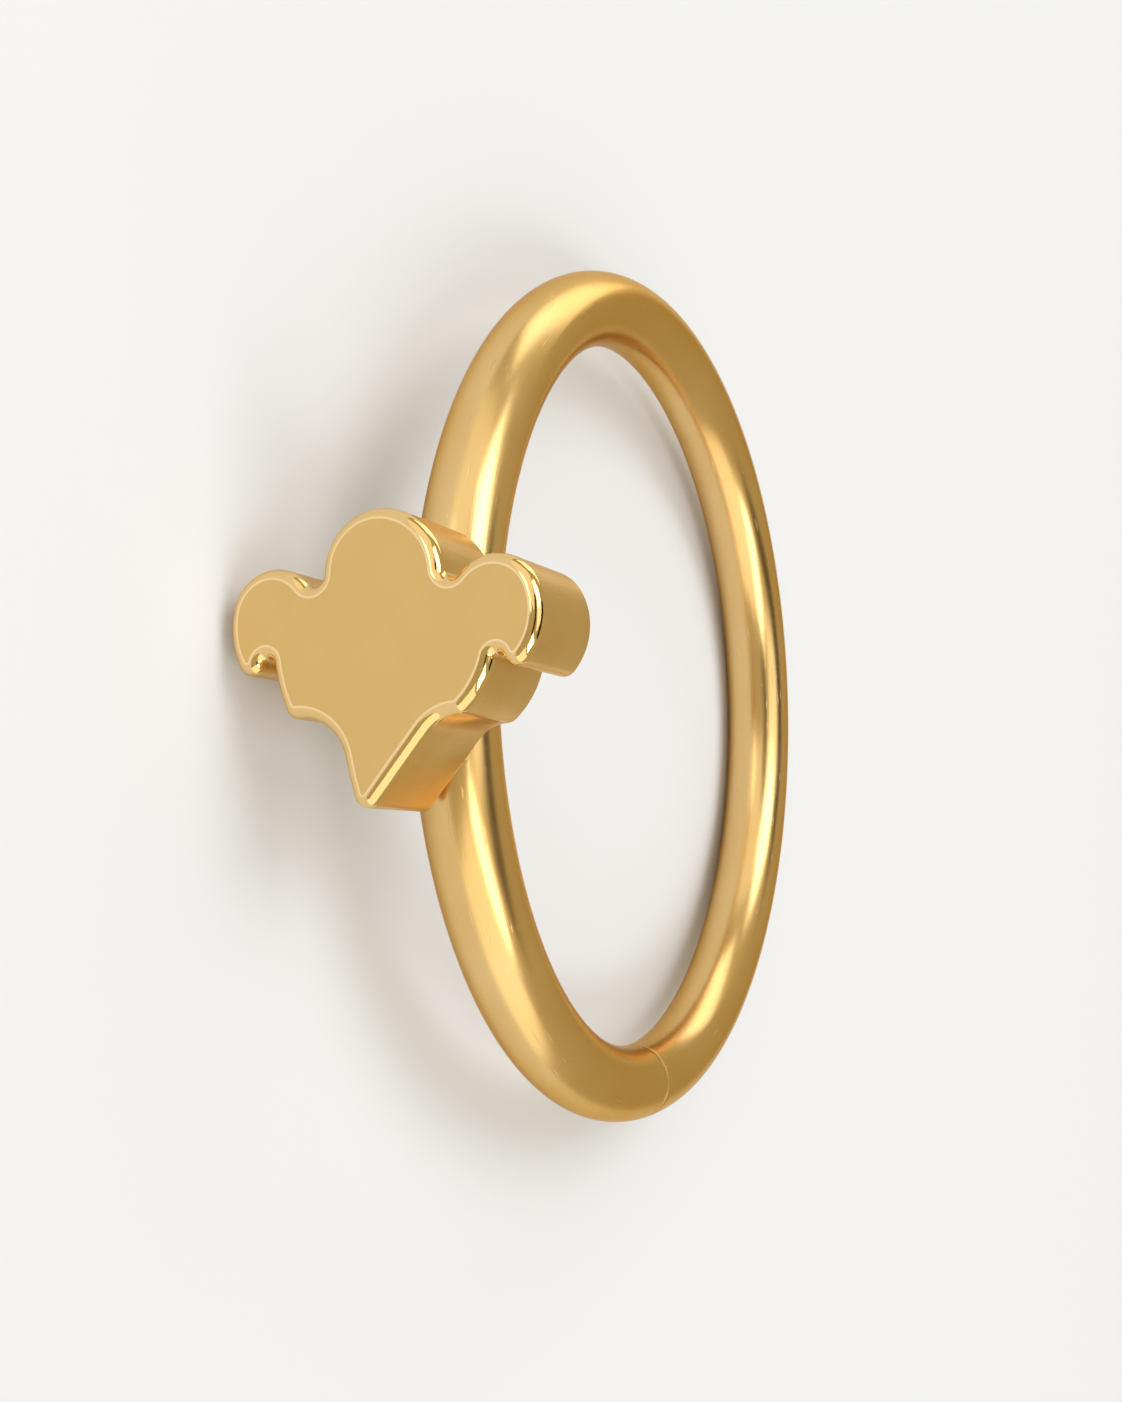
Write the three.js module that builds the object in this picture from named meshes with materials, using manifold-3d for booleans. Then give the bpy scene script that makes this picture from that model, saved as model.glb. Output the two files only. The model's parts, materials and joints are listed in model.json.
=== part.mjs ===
// A piercing hoop of round wire with a lobed palmette charm soldered to its outside.
// Millimetres, +Z up. The ring lies on its side: the charm faces -Y and its point lies towards +X.

import * as THREE from 'three';
import { mergeVertices } from 'three/addons/utils/BufferGeometryUtils.js';
import Module from 'manifold-3d';

// Hoop
const INNER_DIAMETER = 8.0;
const WIRE_DIAMETER = 0.83;
const SEAM_ANGLE = 90; // degrees round the hoop, from the charm towards the charm's point
const SEAM_GAP = 0.04;
const WIRE_SIDES = 20;
const HOOP_STEPS = 96;

// Charm
const CHARM_THICKNESS = 1.02;
const SOLDER_DEPTH = 0.04; // how far the charm's back is sunk into the wire
const RIM_RADIUS = 0.11; // round front rim
const CORNER_RADIUS = 0.02; // points of the flat face
const RIM_STEPS = 4;
const ARC_STEPS = 9;
const CORNER_STEPS = 6;

// The charm's edge, down each half from the apex: the ends of a chain of arcs, each tangent to the last.
// x is the distance from the middle and y the height on the face, both from the hoop's radius through the
// charm. `leave` is the direction, in degrees, in which the edge goes on from a corner.
const APEX = { x: -0.035, y: 0.95 };
const EDGE = {
  right: [
    { x: 0.475, y: 0.495 }, // top lobe
    { x: 0.865, y: 0.375 }, // upper notch
    { x: 1.365, y: 0.325 }, // side lobe, in two arcs
    { x: 1.31, y: -0.215, leave: 114 }, // side lobe's point
    { x: 0.975, y: -0.245 }, // lower notch
    { x: 0.76, y: -0.605, leave: 183 }, // shoulder
    { x: 0.375, y: -0.8 }, // waist
    { x: -0.095, y: -1.385, leave: 180 }, // tip
  ],
  left: [
    { x: 0.45, y: 0.53 },
    { x: 0.86, y: 0.375 },
    { x: 1.405, y: 0.225 },
    { x: 1.325, y: -0.205, leave: 103 },
    { x: 0.945, y: -0.215 },
    { x: 0.815, y: -0.605, leave: 176 },
    { x: 0.19, y: -1.065 },
    { x: 0.095, y: -1.385, leave: 180 },
  ],
};

const WIRE_RADIUS = WIRE_DIAMETER / 2;
const HOOP_RADIUS = INNER_DIAMETER / 2 + WIRE_RADIUS;
const CHARM_BACK = HOOP_RADIUS + WIRE_RADIUS - SOLDER_DEPTH; // distance from the hoop's centre
const FULL_TURN = 2 * Math.PI;
const STRAIGHT = 1e-6; // an arc that leans less than this, in radians, is a straight line

const wasm = await Module();
wasm.setup();

function toSolid(geometry) {
  const bare = geometry.clone();
  bare.deleteAttribute('normal');
  bare.deleteAttribute('uv');
  const merged = mergeVertices(bare);
  const vertProperties = Float32Array.from(merged.attributes.position.array);
  const triVerts = Uint32Array.from(merged.index.array);
  return new wasm.Manifold(new wasm.Mesh({ numProp: 3, vertProperties, triVerts }));
}

function toGeometry(solid) {
  const { vertProperties, triVerts } = solid.getMesh();
  const geometry = new THREE.BufferGeometry();
  geometry.setAttribute('position', new THREE.BufferAttribute(vertProperties, 3));
  geometry.setIndex(new THREE.BufferAttribute(triVerts, 1));
  geometry.computeVertexNormals();
  return geometry;
}

// The wire's centre line, from one side of the seam round to the other. Angles start at the charm, on -Y.
class HoopLine extends THREE.Curve {
  getPoint(share, target = new THREE.Vector3()) {
    const halfGap = SEAM_GAP / 2 / HOOP_RADIUS;
    const start = THREE.MathUtils.degToRad(SEAM_ANGLE) + halfGap;
    const angle = start + share * (FULL_TURN - 2 * halfGap);
    return target.set(HOOP_RADIUS * Math.sin(angle), -HOOP_RADIUS * Math.cos(angle), 0);
  }
}

function pointAlong(from, direction, length) {
  return new THREE.Vector2(from.x + length * Math.cos(direction), from.y + length * Math.sin(direction));
}

function hoopGeometry() {
  const centre = new THREE.Vector2();
  const corners = [];
  for (let side = 0; side < WIRE_SIDES; side++) {
    corners.push(pointAlong(centre, (side / WIRE_SIDES) * FULL_TURN, WIRE_RADIUS));
  }
  const section = new THREE.Shape(corners);
  return new THREE.ExtrudeGeometry(section, { steps: HOOP_STEPS, extrudePath: new HoopLine() });
}

// One half of the charm's outer edge, from the apex to the tip, moved out by `offset` from its arcs.
function halfOutline(apex, rows, offset) {
  const points = [];
  const addPoint = (point, heading) => points.push(pointAlong(point, heading + Math.PI / 2, offset));
  let from = new THREE.Vector2(apex.x, apex.y);
  let heading = 0;
  addPoint(from, heading);
  for (const { x, y, leave } of rows) {
    const to = new THREE.Vector2(x, y);
    const chord = to.clone().sub(from);
    const lean = THREE.MathUtils.euclideanModulo(chord.angle() - heading + Math.PI, FULL_TURN) - Math.PI;
    for (let step = 1; step <= ARC_STEPS; step++) {
      const share = step / ARC_STEPS;
      const reach = Math.abs(lean) < STRAIGHT ? share : Math.sin(share * lean) / Math.sin(lean);
      const point = pointAlong(from, heading + share * lean, chord.length() * reach);
      addPoint(point, heading + 2 * share * lean);
    }
    heading += 2 * lean;
    if (leave !== undefined) {
      const turn = THREE.MathUtils.euclideanModulo(heading - THREE.MathUtils.degToRad(leave), FULL_TURN);
      for (let step = 1; step <= CORNER_STEPS; step++) {
        addPoint(to, heading - (step / CORNER_STEPS) * turn);
      }
      heading -= turn;
    }
    from = to;
  }
  return points;
}

function charmOutline() {
  const offset = RIM_RADIUS + CORNER_RADIUS;
  const right = halfOutline(APEX, EDGE.right, offset);
  const left = halfOutline({ x: -APEX.x, y: APEX.y }, EDGE.left, offset);
  const mirrored = left.map(({ x, y }) => new THREE.Vector2(-x, y)).reverse();
  return [...right, ...mirrored.slice(1, -1)];
}

// The charm in its own axes: x to the right and y up on the face, z from the back (0) to the face.
function charmGeometry(outline) {
  const spare = 2 * RIM_RADIUS; // taken off again, so that only the front rim is round
  const plate = new THREE.ExtrudeGeometry(new THREE.Shape(outline), {
    depth: CHARM_THICKNESS - RIM_RADIUS + spare,
    bevelThickness: RIM_RADIUS,
    bevelSize: RIM_RADIUS,
    bevelOffset: -RIM_RADIUS,
    bevelSegments: RIM_STEPS,
  });
  plate.translate(0, 0, -spare);
  plate.computeBoundingBox();
  const size = plate.boundingBox.getSize(new THREE.Vector3()).multiplyScalar(2);
  const behind = new THREE.BoxGeometry(size.x, size.y, size.z).translate(0, 0, -size.z / 2);
  return toGeometry(toSolid(plate).subtract(toSolid(behind)));
}

// The lie of the ring: it rests on the back edge of the charm's left lobe and on the hoop's far side.
function floorNormal(outline) {
  const prop = outline.reduce((lowest, point) => (point.x < lowest.x ? point : lowest));
  const towardsProp = new THREE.Vector3(-prop.y, -CHARM_BACK, 0);
  const span = towardsProp.length() + HOOP_RADIUS;
  const drop = -prop.x;
  const tilt = Math.atan2(drop, span) - Math.asin(WIRE_RADIUS / Math.hypot(drop, span));
  const across = towardsProp.normalize().multiplyScalar(Math.sin(tilt));
  return across.add(new THREE.Vector3(0, 0, Math.cos(tilt)));
}

const outline = charmOutline();
const charm = charmGeometry(outline);
const faceRight = new THREE.Vector3(0, 0, 1);
const faceUp = new THREE.Vector3(-1, 0, 0);
const faceOut = new THREE.Vector3(0, -1, 0);
charm.applyMatrix4(new THREE.Matrix4().makeBasis(faceRight, faceUp, faceOut).setPosition(0, -CHARM_BACK, 0));

const polishedGold = new THREE.MeshStandardMaterial({ color: 0xdcb66e, roughness: 0.12, metalness: 1 });
const ring = new THREE.Mesh(toGeometry(toSolid(hoopGeometry()).add(toSolid(charm))), polishedGold);
ring.name = 'tragus_ring';

const group = new THREE.Group();
group.add(ring);
group.quaternion.setFromUnitVectors(floorNormal(outline), new THREE.Vector3(0, 0, 1));

// The origin is below the middle of the ring, on the surface that it lies on.
const box = new THREE.Box3().setFromObject(group, true);
const middle = box.getCenter(new THREE.Vector3());
group.position.set(-middle.x, -middle.y, -box.min.z);

export default group;
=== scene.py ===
import json
from math import atan2, cos, hypot, pi, radians, sin, tau

import bpy
from mathutils import Matrix, Vector


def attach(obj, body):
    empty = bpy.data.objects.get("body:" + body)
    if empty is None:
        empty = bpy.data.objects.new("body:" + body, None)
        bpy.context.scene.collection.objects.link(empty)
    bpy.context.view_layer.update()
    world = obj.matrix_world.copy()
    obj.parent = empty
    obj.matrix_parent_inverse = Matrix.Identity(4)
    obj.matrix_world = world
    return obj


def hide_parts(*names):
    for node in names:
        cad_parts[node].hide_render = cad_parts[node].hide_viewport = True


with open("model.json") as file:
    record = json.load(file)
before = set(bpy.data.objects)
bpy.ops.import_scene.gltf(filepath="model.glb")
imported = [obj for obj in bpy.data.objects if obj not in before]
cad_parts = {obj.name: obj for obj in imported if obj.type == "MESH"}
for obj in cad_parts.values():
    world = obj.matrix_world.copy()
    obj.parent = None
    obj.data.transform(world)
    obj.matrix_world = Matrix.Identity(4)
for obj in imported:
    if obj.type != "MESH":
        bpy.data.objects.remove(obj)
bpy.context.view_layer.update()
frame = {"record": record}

# the pieces are modelled in millimetres round the hoop's centre, then put in their place
millimetre = 0.001
smoothAngle = 40  # degrees: an edge that turns more stays sharp
facesAlong = 0.9  # least share of a picked face's normal along the axis
hoop = {
    "innerDiameter": 8.0,
    "wireDiameter": 0.83,
    "seamAngle": 90,  # degrees from the charm towards its point
    "seamGap": 0.012,
    "endRound": 0.014,  # broken edge of the two wire ends
    "endSteps": 3,
    "sides": 64,
    "steps": 360,
}
wireRadius = hoop["wireDiameter"] / 2
hoopRadius = hoop["innerDiameter"] / 2 + wireRadius

mounts = {mount["name"]: mount for mount in frame["record"]["mounts"]}
faceOut = Vector(mounts["charm_face"]["axis"]).normalized()  # out of the charm's face
tipAlong = Vector(mounts["piercing"]["axis"]).normalized()  # towards the charm's point
hoopUp = tipAlong.cross(-faceOut).normalized()  # the hoop's axis
hoopCentre = Vector(mounts["piercing"]["pos_m"]) + faceOut * hoopRadius * millimetre
hoopTurn = Matrix((tipAlong, -faceOut, hoopUp)).transposed()
hoopPlace = Matrix.LocRotScale(hoopCentre, hoopTurn.to_quaternion(), Vector((1, 1, 1)) * millimetre)


def pickFaces(piece, wanted):
    bpy.ops.object.mode_set(mode="EDIT")
    bpy.ops.mesh.select_mode(type="FACE")
    bpy.ops.mesh.select_all(action="DESELECT")
    bpy.ops.object.mode_set(mode="OBJECT")
    for face in piece.data.polygons:
        face.select = wanted(face)
    bpy.ops.object.mode_set(mode="EDIT")


def roundOver(radius, steps):  # rolls the edge of the picked faces over, ring by ring
    for step in range(steps):
        low = step / steps * pi / 2
        high = (step + 1) / steps * pi / 2
        inward = radius * (cos(low) - cos(high))
        outward = radius * (sin(high) - sin(low))
        bpy.ops.mesh.inset(thickness=inward, depth=outward)


def settle(piece, own=Matrix()):  # from the maker's millimetres to the ring's place
    bpy.ops.object.mode_set(mode="EDIT")
    bpy.ops.mesh.select_all(action="SELECT")
    bpy.ops.mesh.normals_make_consistent(inside=False)
    bpy.ops.object.mode_set(mode="OBJECT")
    bpy.ops.object.shade_smooth_by_angle(angle=radians(smoothAngle))
    piece.matrix_world = hoopPlace @ own
    bpy.ops.object.transform_apply(location=True, rotation=True, scale=True)
    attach(piece, "root")
    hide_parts("tragus_ring")


def makeHoop():
    endCover = (hoop["seamGap"] / 2 + hoop["endRound"]) / hoopRadius
    start = radians(hoop["seamAngle"]) - endCover
    bpy.ops.object.select_all(action="DESELECT")
    bpy.ops.mesh.primitive_circle_add(
        vertices=hoop["sides"],
        radius=wireRadius,
        fill_type="NGON",
        location=(hoopRadius * sin(start), -hoopRadius * cos(start), 0),
        rotation=(pi / 2, 0, start - pi / 2),
    )
    wire = bpy.context.object
    wire.name = "hoop"
    bpy.ops.object.transform_apply(location=True, rotation=True)
    bpy.ops.object.mode_set(mode="EDIT")
    bpy.ops.mesh.select_all(action="SELECT")
    bpy.ops.mesh.spin(steps=hoop["steps"], angle=tau - 2 * endCover, center=(0, 0, 0), axis=(0, 0, 1))
    pickFaces(wire, lambda face: len(face.vertices) > 4)  # the two wire ends
    roundOver(hoop["endRound"], hoop["endSteps"])
    settle(wire)
    print("hoop made", len(wire.data.polygons), "faces")
    return wire


charm = {
    "thickness": 1.02,
    "sunk": 0.04,  # into the wire, where it is soldered
    "rimRadius": 0.11,
    "cornerRadius": 0.02,
    "backRound": 0.018,
    "rimSteps": 10,
    "backSteps": 3,
    "band": 0.008,  # narrow bands that keep the flats flat
    "turnStep": 3,  # degrees of the outline to one edge
    "fewestSteps": 2,  # edges to the shortest arc
    "mergeWithin": 0.0005,
    "apex": (-0.035, 0.95),
    "right": (  # ends of tangent arcs: across, up, and the way on from a corner in degrees
        (0.475, 0.495, None),
        (0.865, 0.375, None),
        (1.365, 0.325, None),
        (1.31, -0.215, 114),
        (0.975, -0.245, None),
        (0.76, -0.605, 183),
        (0.375, -0.8, None),
        (-0.095, -1.385, 180),
    ),
    "left": (
        (0.45, 0.53, None),
        (0.86, 0.375, None),
        (1.405, 0.225, None),
        (1.325, -0.205, 103),
        (0.945, -0.215, None),
        (0.815, -0.605, 176),
        (0.19, -1.065, None),
        (0.095, -1.385, 180),
    ),
}

charmBack = hoopRadius + wireRadius - charm["sunk"]
# across, up and out on the charm, as directions round the hoop
charmAxes = Matrix(((0, -1, 0, 0), (0, 0, -1, -charmBack), (1, 0, 0, 0), (0, 0, 0, 1)))


def drawArc(centre, turn, mirror):  # spin turns clockwise, so a left turn is negative
    steps = max(charm["fewestSteps"], round(abs(turn) / radians(charm["turnStep"])))
    middle = (centre[0] * mirror, centre[1], 0)
    bpy.ops.mesh.spin(steps=steps, angle=-turn * mirror, center=middle, axis=(0, 0, 1))


def drawHalf(side, mirror):  # the outer edge, from the selected vertex at the apex down to the tip
    x, y = charm["apex"][0] * mirror, charm["apex"][1]
    heading = 0
    for endX, endY, leave in charm[side]:
        chord = hypot(endX - x, endY - y)
        lean = (atan2(endY - y, endX - x) - heading + pi) % tau - pi
        radius = chord / (2 * sin(lean))
        drawArc((x - radius * sin(heading), y + radius * cos(heading)), 2 * lean, mirror)
        x, y = endX, endY
        heading += 2 * lean
        if leave is not None:
            corner = (heading - radians(leave)) % tau
            drawArc((x, y), -corner, mirror)
            heading -= corner


def makeCharm():
    edge = charm["rimRadius"] + charm["cornerRadius"]
    wallTop = charm["thickness"] - charm["rimRadius"]
    apex = (charm["apex"][0], charm["apex"][1] + edge, 0)
    bpy.ops.object.select_all(action="DESELECT")
    bpy.ops.mesh.primitive_plane_add(size=charm["band"], location=(0, 0, 0), enter_editmode=True)
    plate = bpy.context.object
    plate.name = "charm"
    bpy.ops.mesh.select_mode(type="VERT")
    bpy.ops.mesh.merge(type="CENTER")
    bpy.ops.transform.translate(value=apex)
    drawHalf("right", 1)
    bpy.ops.mesh.primitive_plane_add(size=charm["band"], location=(0, 0, 0))
    bpy.ops.mesh.merge(type="CENTER")
    bpy.ops.transform.translate(value=apex)
    drawHalf("left", -1)
    bpy.ops.mesh.select_all(action="SELECT")
    bpy.ops.mesh.remove_doubles(threshold=charm["mergeWithin"])
    bpy.ops.mesh.edge_face_add()
    bpy.ops.transform.translate(value=(0, 0, charm["backRound"]))
    for height in (charm["band"], wallTop - charm["backRound"] - 2 * charm["band"], charm["band"]):
        bpy.ops.mesh.extrude_region_move(TRANSFORM_OT_translate={"value": (0, 0, height)})
    bpy.ops.mesh.select_all(action="SELECT")
    bpy.ops.mesh.normals_make_consistent(inside=False)
    pickFaces(plate, lambda face: face.normal.z > facesAlong)
    roundOver(charm["rimRadius"], charm["rimSteps"])
    bpy.ops.mesh.inset(thickness=charm["band"], depth=0)
    pickFaces(plate, lambda face: face.normal.z < -facesAlong)
    roundOver(charm["backRound"], charm["backSteps"])
    bpy.ops.mesh.inset(thickness=charm["band"], depth=0)
    settle(plate, charmAxes)
    print("charm made", len(plate.data.polygons), "faces")
    return plate


class Value:  # a shader socket that takes part in sums
    def __init__(self, tree, socket):
        self.tree = tree
        self.socket = socket

    def node(self, kind, settings, inputs, output=0):
        made = self.tree.nodes.new(kind)
        for name, setting in settings.items():
            setattr(made, name, setting)
        for name, given in inputs.items():
            if isinstance(given, Value):
                self.tree.links.new(given.socket, made.inputs[name])
            else:
                made.inputs[name].default_value = given
        return Value(self.tree, made.outputs[output])

    def maths(self, operation, first, second=0.0):
        return self.node("ShaderNodeMath", {"operation": operation}, {0: first, 1: second})

    def __add__(self, other):
        return self.maths("ADD", self, other)

    def __sub__(self, other):
        return self.maths("SUBTRACT", self, other)

    def __mul__(self, other):
        return self.maths("MULTIPLY", self, other)

    def __truediv__(self, other):
        return self.maths("DIVIDE", self, other)

    def __pow__(self, other):
        return self.maths("POWER", self, other)

    def __rsub__(self, other):
        return self.maths("SUBTRACT", other, self)

    def __abs__(self):
        return self.maths("ABSOLUTE", self)

    __radd__ = __add__
    __rmul__ = __mul__


def newGold(name, limb):  # a plain metal, and places on it in millimetres from the hoop's centre
    metal = bpy.data.materials.new(name)
    metal.use_nodes = True
    tree = metal.node_tree
    shader = tree.nodes["Principled BSDF"]
    shader.inputs["Metallic"].default_value = 1
    shader.inputs["Specular Tint"].default_value = limb  # tone at a glancing angle
    start = Value(tree, None)
    place = start.node("ShaderNodeTexCoord", {}, {}, "Object")
    turn = hoopTurn.to_euler()
    place = start.node(
        "ShaderNodeMapping",
        {"vector_type": "TEXTURE"},
        {"Vector": place, "Location": hoopCentre, "Rotation": turn, "Scale": (millimetre,) * 3},
    )
    return metal, shader, place


def vectorOf(value, x, y, z):
    return value.node("ShaderNodeCombineXYZ", {}, {"X": x, "Y": y, "Z": z})


def stretched(axes, scales):
    return vectorOf(axes[0], *[axis * scale for axis, scale in zip(axes, scales)])


noiseMiddle = 0.5


def noise(place, scale, detail):
    return place.node("ShaderNodeTexNoise", {}, {"Vector": place, "Scale": scale, "Detail": detail})


def fade(value, low, high):  # 0 below low, 1 above high, smooth between
    settings = {"interpolation_type": "SMOOTHSTEP"}
    return value.node("ShaderNodeMapRange", settings, {"Value": value, "From Min": low, "From Max": high})


def blendColour(factor, first, second):
    return factor.node("ShaderNodeMix", {"data_type": "RGBA"}, {"Factor": factor, 6: first, 7: second}, 2)


def dress(shader, colour, rough, height, depth):
    tree = shader.id_data
    tree.links.new(colour.socket, shader.inputs["Base Color"])
    tree.links.new(rough.socket, shader.inputs["Roughness"])
    bump = height.node("ShaderNodeBump", {}, {"Height": height, "Distance": depth, "Strength": 1.0})
    tree.links.new(bump.socket, shader.inputs["Normal"])


def axesOf(place):
    return [place.node("ShaderNodeSeparateXYZ", {}, {"Vector": place}, axis) for axis in "XYZ"]


wirePolish = {
    "limb": (0.76, 0.58, 0.36, 1),
    "bright": (0.77, 0.53, 0.235, 1),
    "deep": (0.735, 0.48, 0.185, 1),
    "seamTone": (0.42, 0.24, 0.06, 1),
    "lipHighlightTone": (1.0, 0.84, 0.48, 1),
    "seamWidth": 0.012,  # to the middle of each lip: the far lip carries the seam shade, the near lip a painted highlight
    "seamFade": (0.004, 0.018),
    "seamShade": 0.75,
    "lipFade": (0.004, 0.014),
    "toneScale": 0.55,
    "toneRange": (0.35, 0.7),
    "smearScale": 1.3,
    "grainScale": 55.0,
    "lineScale": (0.9, 70),  # along and across the wire
    "hairScale": (2.2, 30),
    "hairSlant": 2,
    "hairLayer": 4.0,  # keeps the hairs' noise apart from the lines'
    "hairRange": (0.66, 0.74),
    "rough": 0.24,
    "spread": {"smear": 0.09, "lines": 0.05, "hair": 0.05, "seam": 0.15},  # of the roughness
    "heights": {"lines": 0.6, "grain": 0.25, "hair": 0.8},
    "lineDepth": 0.0000012,  # metres
}


def wireGold():
    metal, shader, place = newGold("polished wire", wirePolish["limb"])
    x, y, z = axesOf(place)
    out = (x * x + y * y) ** 0.5
    along = x.maths("ARCTAN2", x, 0 - y)  # round the hoop from the charm
    around = z.maths("ARCTAN2", z, out - hoopRadius)  # round the wire
    skin = vectorOf(x, along * hoopRadius, around * wireRadius, 0.0)
    lineAlong, lineAcross = wirePolish["lineScale"]
    linePlace = vectorOf(x, along * hoopRadius * lineAlong, around * wireRadius * lineAcross, 0.0)
    lines = noise(linePlace, 1.0, detail=3)
    hairAlong, hairAcross = wirePolish["hairScale"]
    slanted = along * hoopRadius * hairAlong + around * wirePolish["hairSlant"]
    hairPlace = vectorOf(x, slanted, around * wireRadius * hairAcross, wirePolish["hairLayer"])
    hair = fade(noise(hairPlace, 1.0, detail=2), *wirePolish["hairRange"])
    smear = noise(place, wirePolish["smearScale"], detail=3)
    tone = noise(place, wirePolish["toneScale"], detail=2)
    grain = noise(skin, wirePolish["grainScale"], detail=2)
    pastSeam = (along - radians(hoop["seamAngle"])) * hoopRadius
    farLip = abs(pastSeam - wirePolish["seamWidth"])
    nearLip = abs(pastSeam + wirePolish["seamWidth"])
    inSeam = 1 - fade(farLip, *wirePolish["seamFade"])  # dark
    lipHighlight = 1 - fade(nearLip, *wirePolish["lipFade"])  # painted highlight on the near lip
    colour = blendColour(fade(tone, *wirePolish["toneRange"]), wirePolish["bright"], wirePolish["deep"])
    colour = blendColour(inSeam * wirePolish["seamShade"], colour, wirePolish["seamTone"])
    # painted highlight along the near lip of the seam
    colour = blendColour(lipHighlight, colour, wirePolish["lipHighlightTone"])
    spread = wirePolish["spread"]
    rough = wirePolish["rough"] + (smear - noiseMiddle) * spread["smear"]
    rough = rough + (lines - noiseMiddle) * spread["lines"] + hair * spread["hair"] + inSeam * spread["seam"]
    heights = wirePolish["heights"]
    height = lines * heights["lines"] + grain * heights["grain"] - hair * heights["hair"]
    dress(shader, colour, rough, height, wirePolish["lineDepth"])
    return metal


charmPolish = {
    "limb": (0.92, 0.84, 0.70, 1),
    "face": (0.735, 0.49, 0.185, 1),
    "faceDeep": (0.72, 0.472, 0.172, 1),
    "wall": (0.77, 0.53, 0.235, 1),
    "wallDeep": (0.73, 0.478, 0.185, 1),
    "cloudScale": 2.1,
    "cloudRange": (0.3, 0.7),
    "lapScale": (6, 95),  # along and across the charm
    "crossScale": (80, 5),  # on the two diagonals
    "crossLayer": 3.0,
    "crossHeight": 0.5,
    "faceRough": 0.24,
    "faceSpread": {"cloud": 0.06, "lapped": 0.06},  # of the roughness
    "faceDepth": 0.0000009,  # metres
    "smearScale": 1.7,
    "smearRange": (0.35, 0.7),
    "drawnScale": (34, 1.4, 34),
    "hairScale": (9, 30, 5),
    "hairRange": (0.66, 0.75),
    "hairHeight": 0.7,
    "wallRough": 0.32,
    "wallSpread": {"smear": 0.08, "drawn": 0.07, "hair": 0.04},
    "wallDepth": 0.0000016,
}


def faceGold():  # flat face: finely lapped, so it mirrors softly
    metal, shader, place = newGold("lapped face", charmPolish["limb"])
    x, y, z = axesOf(place)
    lapAlong, lapAcross = charmPolish["lapScale"]
    lapped = noise(vectorOf(x, x * lapAlong, z * lapAcross, y), 1.0, detail=3)
    crossFine, crossLong = charmPolish["crossScale"]
    crossPlace = vectorOf(x, (x + z) * crossFine, (x - z) * crossLong, charmPolish["crossLayer"])
    crossed = noise(crossPlace, 1.0, detail=2)
    cloud = noise(place, charmPolish["cloudScale"], detail=3)
    cloudy = fade(cloud, *charmPolish["cloudRange"])
    colour = blendColour(cloudy, charmPolish["face"], charmPolish["faceDeep"])
    spread = charmPolish["faceSpread"]
    rough = charmPolish["faceRough"] + (cloud - noiseMiddle) * spread["cloud"]
    rough = rough + (lapped - noiseMiddle) * spread["lapped"]
    height = lapped + crossed * charmPolish["crossHeight"]
    dress(shader, colour, rough, height, charmPolish["faceDepth"])
    return metal


def wallGold():  # walls and back: polished over faint lines that run from front to back
    metal, shader, place = newGold("polished wall", charmPolish["limb"])
    axes = axesOf(place)
    drawn = noise(stretched(axes, charmPolish["drawnScale"]), 1.0, detail=3)
    smear = noise(place, charmPolish["smearScale"], detail=3)
    hairs = noise(stretched(axes, charmPolish["hairScale"]), 1.0, detail=2)
    hair = fade(hairs, *charmPolish["hairRange"])
    smeared = fade(smear, *charmPolish["smearRange"])
    colour = blendColour(smeared, charmPolish["wall"], charmPolish["wallDeep"])
    spread = charmPolish["wallSpread"]
    rough = charmPolish["wallRough"] + (smear - noiseMiddle) * spread["smear"]
    rough = rough + (drawn - noiseMiddle) * spread["drawn"] + hair * spread["hair"]
    height = drawn - hair * charmPolish["hairHeight"]
    dress(shader, colour, rough, height, charmPolish["wallDepth"])
    return metal


rimPolish = {
    "tone": (0.80, 0.555, 0.24, 1),
    "edge": (0.94, 0.71, 0.38, 1),  # painted highlight where the rim meets the face
    "edgeRange": (0.005, 0.03),  # share of the rim's drop over which the painted highlight fades
    "wearAndHighlightScale": 6.0,
    # least and most strength of the painted highlight's patches
    "highlightLeast": 0.75,
    "highlightMore": 0.4,
    "lineScale": (20, 60, 20),
    "rough": 0.07,
    "spread": {"wearAndHighlight": 0.06, "lines": 0.04},  # of the roughness
    "depth": 0.0000005,  # metres
    "leastLean": 0.03,  # a face that leans this far to the front is rim
    "flatLean": 0.9999,  # and this far, flat face
}


def rimGold():  # rounded rim: the brightest polish, with a painted highlight along the edge of the face
    metal, shader, place = newGold("burnished rim, painted highlight", charmPolish["limb"])
    x, y, z = axesOf(place)
    drop = (y + charmBack + charm["thickness"]) / charm["rimRadius"]  # 0 at the face, 1 at the wall
    # one noise varies the roughness and breaks the painted highlight into patches
    wearAndHighlight = noise(place, rimPolish["wearAndHighlightScale"], detail=3)
    lines = noise(stretched((x, y, z), rimPolish["lineScale"]), 1.0, detail=2)
    highlightPatches = rimPolish["highlightLeast"] + wearAndHighlight * rimPolish["highlightMore"]
    # painted highlight: a pale band where the rim meets the face
    paintedHighlight = (1 - fade(drop, *rimPolish["edgeRange"])) * highlightPatches
    colour = blendColour(paintedHighlight, rimPolish["tone"], rimPolish["edge"])
    spread = rimPolish["spread"]
    rough = rimPolish["rough"] + (wearAndHighlight - noiseMiddle) * spread["wearAndHighlight"]
    rough = rough + (lines - noiseMiddle) * spread["lines"]
    dress(shader, colour, rough, lines, rimPolish["depth"])
    return metal


def dressCharm(plate):
    plate.data.materials.clear()
    for metal in (wallGold(), rimGold(), faceGold()):
        plate.data.materials.append(metal)
    for face in plate.data.polygons:
        lean = face.normal.dot(faceOut)
        face.material_index = 0  # wall
        if lean > rimPolish["leastLean"]:
            face.material_index = 1  # rim
        if lean > rimPolish["flatLean"]:
            face.material_index = 2  # flat face


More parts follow.
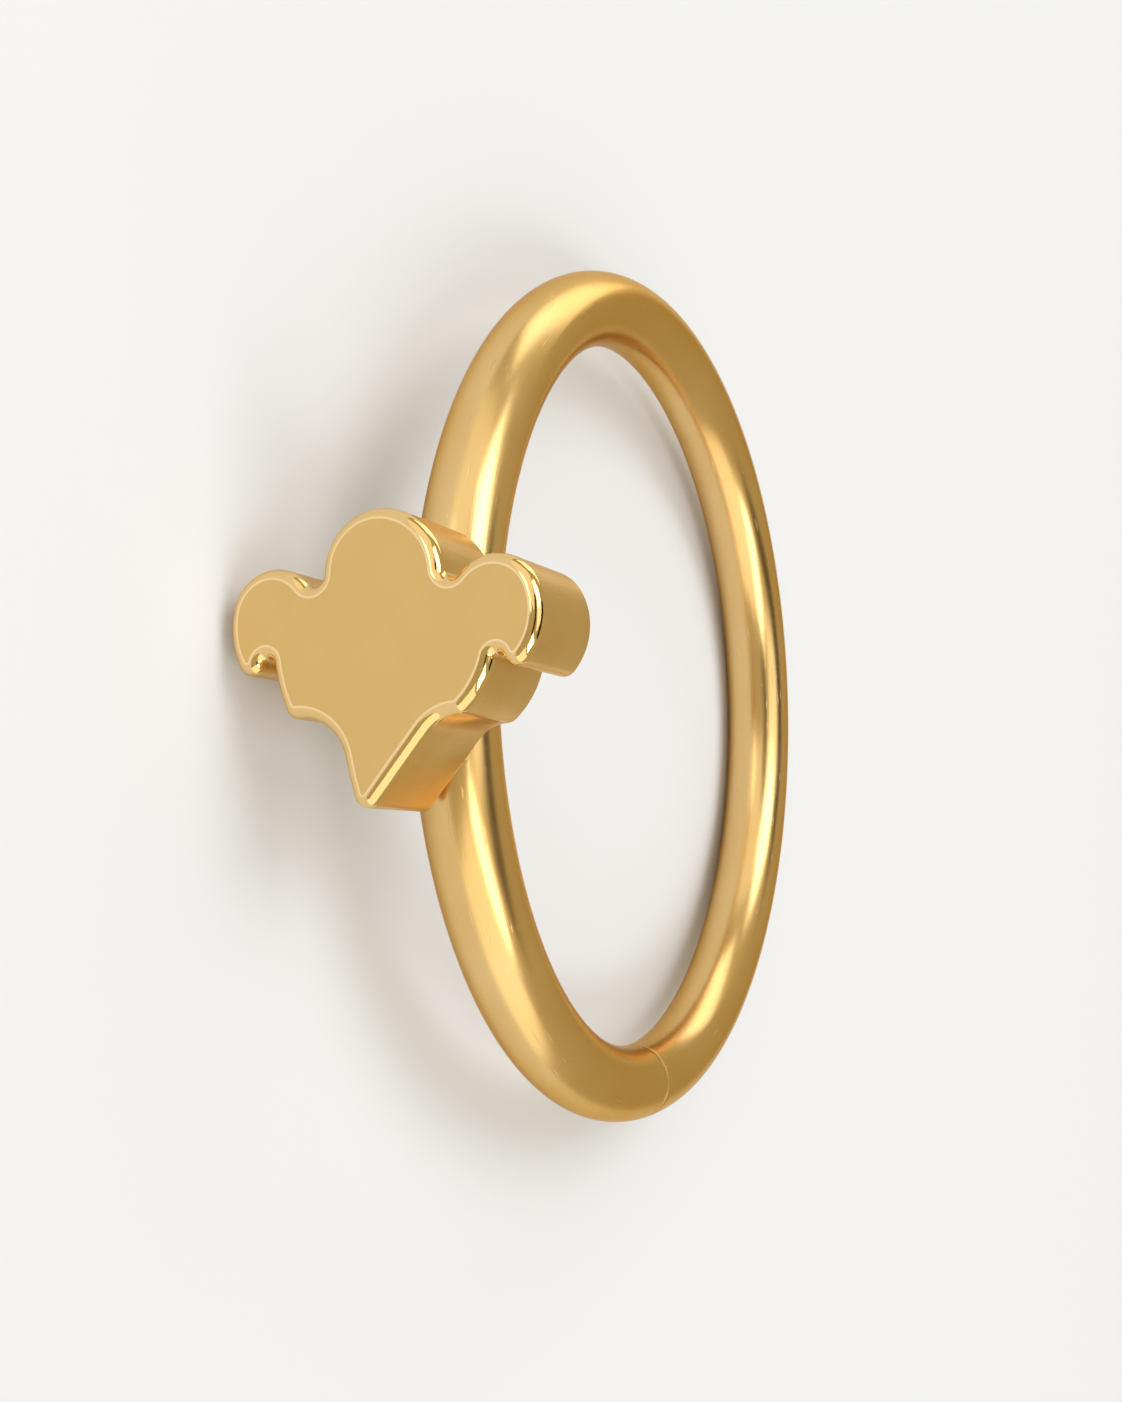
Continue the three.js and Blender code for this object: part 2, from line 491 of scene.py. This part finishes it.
solder = {
    "length": 1.45,  # along the wire
    "width": 0.74,
    "height": 0.2,  # from the charm's back down into the wire
    "waist": 0.7,  # share of the width where it meets the wire
    "rings": 7,
    "sides": 64,
    "tone": (0.80, 0.56, 0.24, 1),
    "deep": (0.70, 0.45, 0.16, 1),
    "lumpScale": 5.0,
    "lumpRange": (0.35, 0.7),
    "grainScale": 28.0,
    "grainHeight": 0.15,
    "rough": 0.2,
    "spread": {"grain": 0.12, "lumps": 0.08},  # of the roughness
    "depth": 0.000006,  # metres
}


def makeSolder():  # a hollow-sided fillet that carries the charm on the wire
    bpy.ops.object.select_all(action="DESELECT")
    bpy.ops.mesh.primitive_circle_add(vertices=solder["sides"], radius=0.5, fill_type="NGON")
    bead = bpy.context.object
    bead.name = "solder"
    bead.scale = (solder["width"], solder["length"], 1)
    bead.location = (0, 0, charm["band"])
    bpy.ops.object.transform_apply(location=True, rotation=True, scale=True)
    bpy.ops.object.mode_set(mode="EDIT")
    bpy.ops.mesh.select_mode(type="FACE")
    bpy.ops.mesh.select_all(action="SELECT")
    for ring in range(solder["rings"]):
        low = ring / solder["rings"] * pi / 2
        high = (ring + 1) / solder["rings"] * pi / 2
        before, after = [1 - (1 - solder["waist"]) * sin(angle) for angle in (low, high)]
        shrink = after / before
        fall = (cos(low) - cos(high)) * solder["height"]
        bpy.ops.mesh.extrude_region_move(TRANSFORM_OT_translate={"value": (0, 0, -fall)})
        bpy.ops.transform.resize(value=(shrink, shrink, 1), center_override=(0, 0, 0))
    settle(bead, charmAxes)
    print("solder made", len(bead.data.polygons), "faces")
    return bead


def solderGold():  # flowed metal: softly lumpy, a little duller
    metal, shader, place = newGold("flowed solder", wirePolish["limb"])
    lumps = noise(place, solder["lumpScale"], detail=2)
    grain = noise(place, solder["grainScale"], detail=3)
    colour = blendColour(fade(lumps, *solder["lumpRange"]), solder["tone"], solder["deep"])
    spread = solder["spread"]
    rough = solder["rough"] + (grain - noiseMiddle) * spread["grain"]
    rough = rough + (lumps - noiseMiddle) * spread["lumps"]
    dress(shader, colour, rough, lumps + grain * solder["grainHeight"], solder["depth"])
    return metal


floor = {"size": 0.7, "tone": (0.75, 0.785, 0.88, 1), "rough": 0.9, "shine": 0.1}


def makeFloor():
    bpy.ops.object.select_all(action="DESELECT")
    bpy.ops.mesh.primitive_plane_add(size=floor["size"])
    ground = bpy.context.object
    ground.name = "floor"
    paper = bpy.data.materials.new("pale paper")
    paper.use_nodes = True
    shader = paper.node_tree.nodes["Principled BSDF"]
    shader.inputs["Base Color"].default_value = floor["tone"]
    shader.inputs["Roughness"].default_value = floor["rough"]
    shader.inputs["Specular IOR Level"].default_value = floor["shine"]
    ground.data.materials.append(paper)


lampDistance = 0.35  # metres
lampPower = 4  # watts to a square metre at brightness 1
lamps = {  # direction from the ring in degrees (0 is in front of the charm), size and brightness
    "keyBox": {"from": (-80, 60), "size": (0.20, 0.20), "bright": 2},
    "sideBox": {"from": (70, 55), "size": (0.25, 0.10), "bright": 3},
    "overhead": {"from": (-60, 75), "size": (0.25, 0.35), "bright": 0.75},
    "sideFill": {"from": (75, 20), "size": (0.45, 0.30), "bright": 0.75},
    "frontFill": {"from": (-45, 20), "size": (0.40, 0.30), "bright": 0.5},
    "frontStrip": {"from": (-20, 8), "size": (0.15, 0.08), "bright": 1.5},
    "topFill": {"from": (-120, 15), "size": (0.30, 0.15), "bright": 1.25},
}
room = {"dark": (0.55, 0.48, 0.31, 1), "pale": (0.91, 0.905, 0.88, 1)}
cards = {  # black cards, for the dark reflections on the rims
    "backCard": {"from": (174, 66), "away": 0.30, "size": (0.24, 0.11)},
    "frontCard": {"from": (-8, 53), "away": 0.30, "size": (0.24, 0.07)},
}
cardTone = (0.02, 0.014, 0.006, 1)


def wayFrom(turn, rise):
    turn, rise = radians(turn), radians(rise)
    return Vector((sin(turn) * cos(rise), -cos(turn) * cos(rise), sin(rise)))


def makeCards():
    black = bpy.data.materials.new("black card")
    black.use_nodes = True
    shader = black.node_tree.nodes["Principled BSDF"]
    shader.inputs["Base Color"].default_value = cardTone
    shader.inputs["Roughness"].default_value = 1
    for name, card in cards.items():
        way = wayFrom(*card["from"])
        bpy.ops.object.select_all(action="DESELECT")
        bpy.ops.mesh.primitive_plane_add(size=1, location=hoopCentre + way * card["away"])
        sheet = bpy.context.object
        sheet.name = name
        sheet.rotation_euler = way.to_track_quat("Z", "Y").to_euler()
        sheet.scale = (*card["size"], 1)
        bpy.ops.object.transform_apply(location=True, rotation=True, scale=True)
        sheet.data.materials.append(black)
        sheet.visible_camera = False
        sheet.visible_shadow = False


def makeLamps():
    for name, lamp in lamps.items():
        way = wayFrom(*lamp["from"])
        light = bpy.data.lights.new(name, "AREA")
        light.shape = "RECTANGLE"
        light.size, light.size_y = lamp["size"]
        light.energy = lamp["bright"] * lampPower * light.size * light.size_y
        holder = bpy.data.objects.new(name, light)
        bpy.context.scene.collection.objects.link(holder)
        holder.location = hoopCentre + way * lampDistance
        holder.rotation_euler = way.to_track_quat("Z", "Y").to_euler()
        holder.visible_camera = False


def makeRoom():
    world = bpy.data.worlds.new("room")
    bpy.context.scene.world = world
    world.use_nodes = True
    tree = world.node_tree
    background = tree.nodes["Background"]
    start = Value(tree, None)
    seen = start.node("ShaderNodeLightPath", {}, {}, "Is Camera Ray")
    colour = blendColour(seen, room["dark"], room["pale"])  # the far room is as pale as the floor
    tree.links.new(colour.socket, background.inputs["Color"])


view = {  # in hoop radii: out of the face, up the charm, along the hoop's axis
    "stand": (4.094, -0.451, 1.705),
    "aim": (0.084, -0.017, -0.182),
    "roll": 0.6,
    "focal": 1690,  # pixels
    "pictureHeight": 1402,
    "sensor": 36,  # millimetres
    "clip": (0.0005, 20),  # metres
}


def makeCamera():
    radii = hoopRadius * millimetre
    axes = Matrix((faceOut, -tipAlong, hoopUp)).transposed()
    stand = hoopCentre + axes @ Vector(view["stand"]) * radii
    aim = hoopCentre + axes @ Vector(view["aim"]) * radii
    back = (stand - aim).normalized()
    right = (-tipAlong).cross(back).normalized()
    up = back.cross(right)
    turn = Matrix((right, up, back)).transposed() @ Matrix.Rotation(radians(view["roll"]), 3, "Z")
    lens = bpy.data.cameras.new("camera")
    lens.sensor_width = view["sensor"]
    lens.lens = lens.sensor_width * view["focal"] / view["pictureHeight"]
    lens.clip_start, lens.clip_end = view["clip"]
    camera = bpy.data.objects.new("camera", lens)
    bpy.context.scene.collection.objects.link(camera)
    camera.matrix_world = Matrix.Translation(stand) @ turn.to_4x4()
    bpy.context.scene.camera = camera
    bpy.context.scene.view_settings.view_transform = "Standard"


makeCamera()
wirePiece = makeHoop()
wirePiece.data.materials.append(wireGold())
charmPiece = makeCharm()
dressCharm(charmPiece)
solderPiece = makeSolder()
solderPiece.data.materials.append(solderGold())
print("gold dressed")
makeFloor()
makeCards()
makeLamps()
makeRoom()
print("floor and lamps set")
